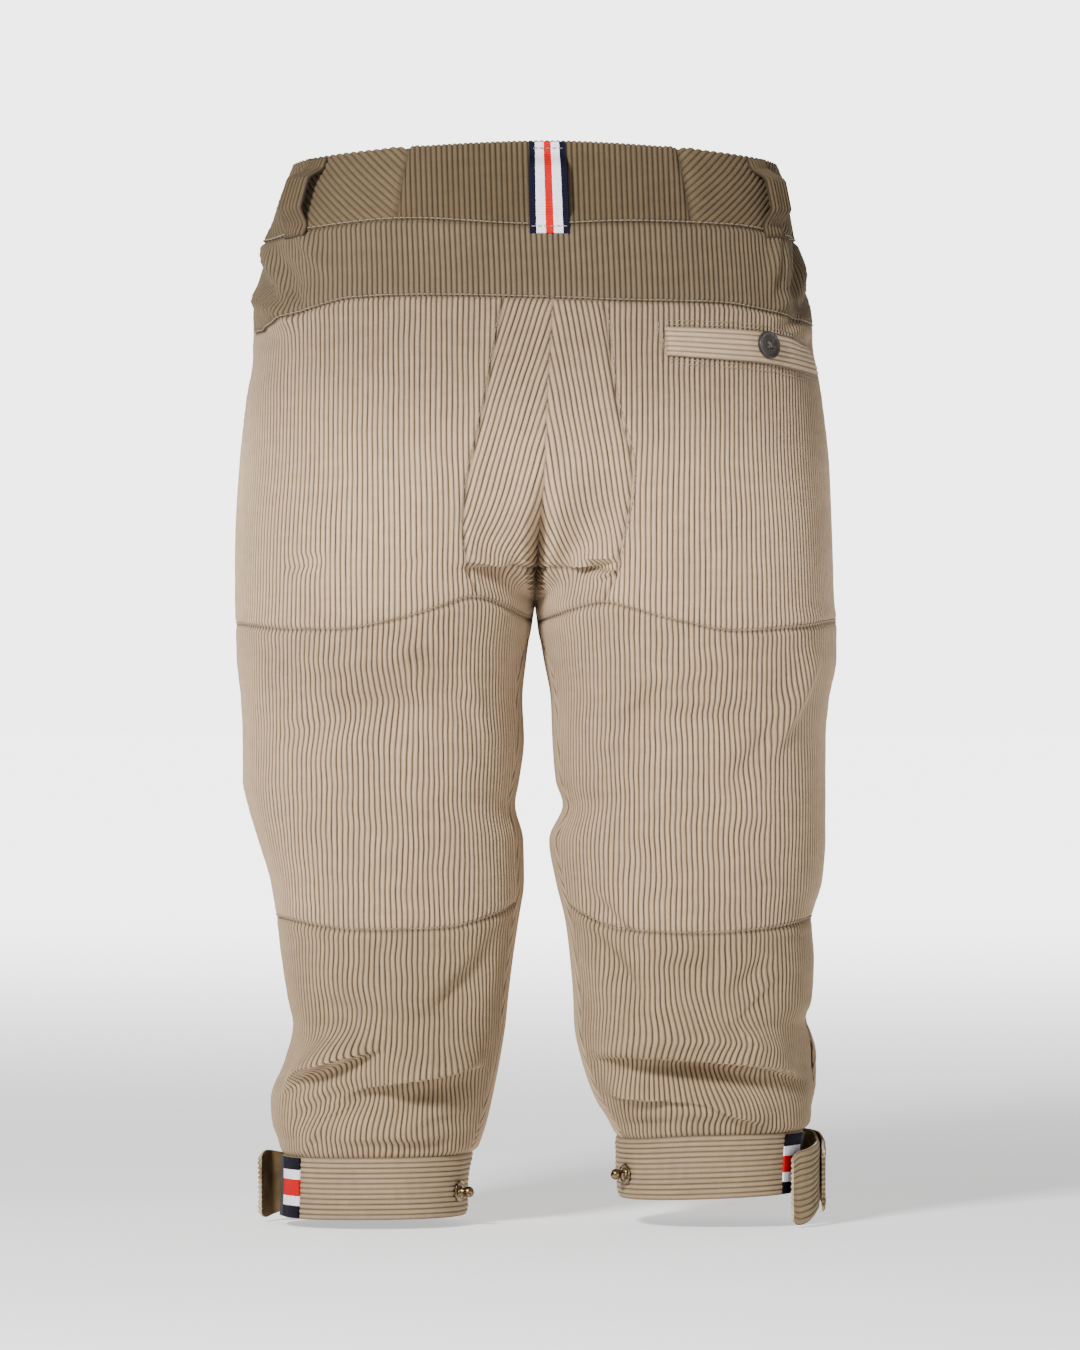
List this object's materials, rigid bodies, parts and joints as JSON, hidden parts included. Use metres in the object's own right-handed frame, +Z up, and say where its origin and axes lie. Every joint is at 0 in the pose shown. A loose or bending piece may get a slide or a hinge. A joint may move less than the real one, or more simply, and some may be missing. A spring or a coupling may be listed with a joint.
{
  "type": "knee breeches",
  "caption": "Knee breeches in wide-wale corduroy, filled out as if worn: shaped waistband with belt loops, back yoke, seat panels, welt pocket, and cuffs with tabs.",
  "frame": {"origin": "middle of the waist, level with the middle of the waistband", "axes": "+Z up the body, +Y to the wearer's front, +X to the wearer's right; the picture looks along +Y at the back"},
  "size_m": [0.3701, 0.2559, 0.6616],
  "materials": {
    "corduroy": "wide-wale cotton corduroy, beige",
    "ribbon": "woven striped ribbon in navy, white and red",
    "closure_tape": "black hook-and-loop tape",
    "horn": "dark mottled horn look",
    "gunmetal": "darkened brass"
  },
  "bodies": {
    "root": {"back_lower_left": "corduroy", "back_lower_right": "corduroy", "back_thigh_left": "corduroy", "back_thigh_right": "corduroy", "back_upper_left": "corduroy", "back_upper_right": "corduroy", "belt_loop_back": "ribbon", "belt_loop_left": "corduroy", "belt_loop_right": "corduroy", "cuff_left": "corduroy", "cuff_ribbon_left": "ribbon", "cuff_ribbon_right": "ribbon", "cuff_right": "corduroy", "cuff_stud_left": "gunmetal", "cuff_stud_right": "gunmetal", "cuff_tab_left": "corduroy", "cuff_tab_right": "corduroy", "cuff_tab_right_over": "corduroy", "cuff_tape_left": "closure_tape", "cuff_tape_right": "closure_tape", "fly": "corduroy", "front_left": "corduroy", "front_right": "corduroy", "pocket_button": "horn", "pocket_welt": "corduroy", "seat_left": "corduroy", "seat_right": "corduroy", "waist_button": "horn", "waistband_back": "corduroy", "waistband_front_left": "corduroy", "waistband_front_right": "corduroy", "waistband_side_left": "corduroy", "waistband_side_right": "corduroy", "yoke_back": "corduroy"}
  },
  "joints": []
}
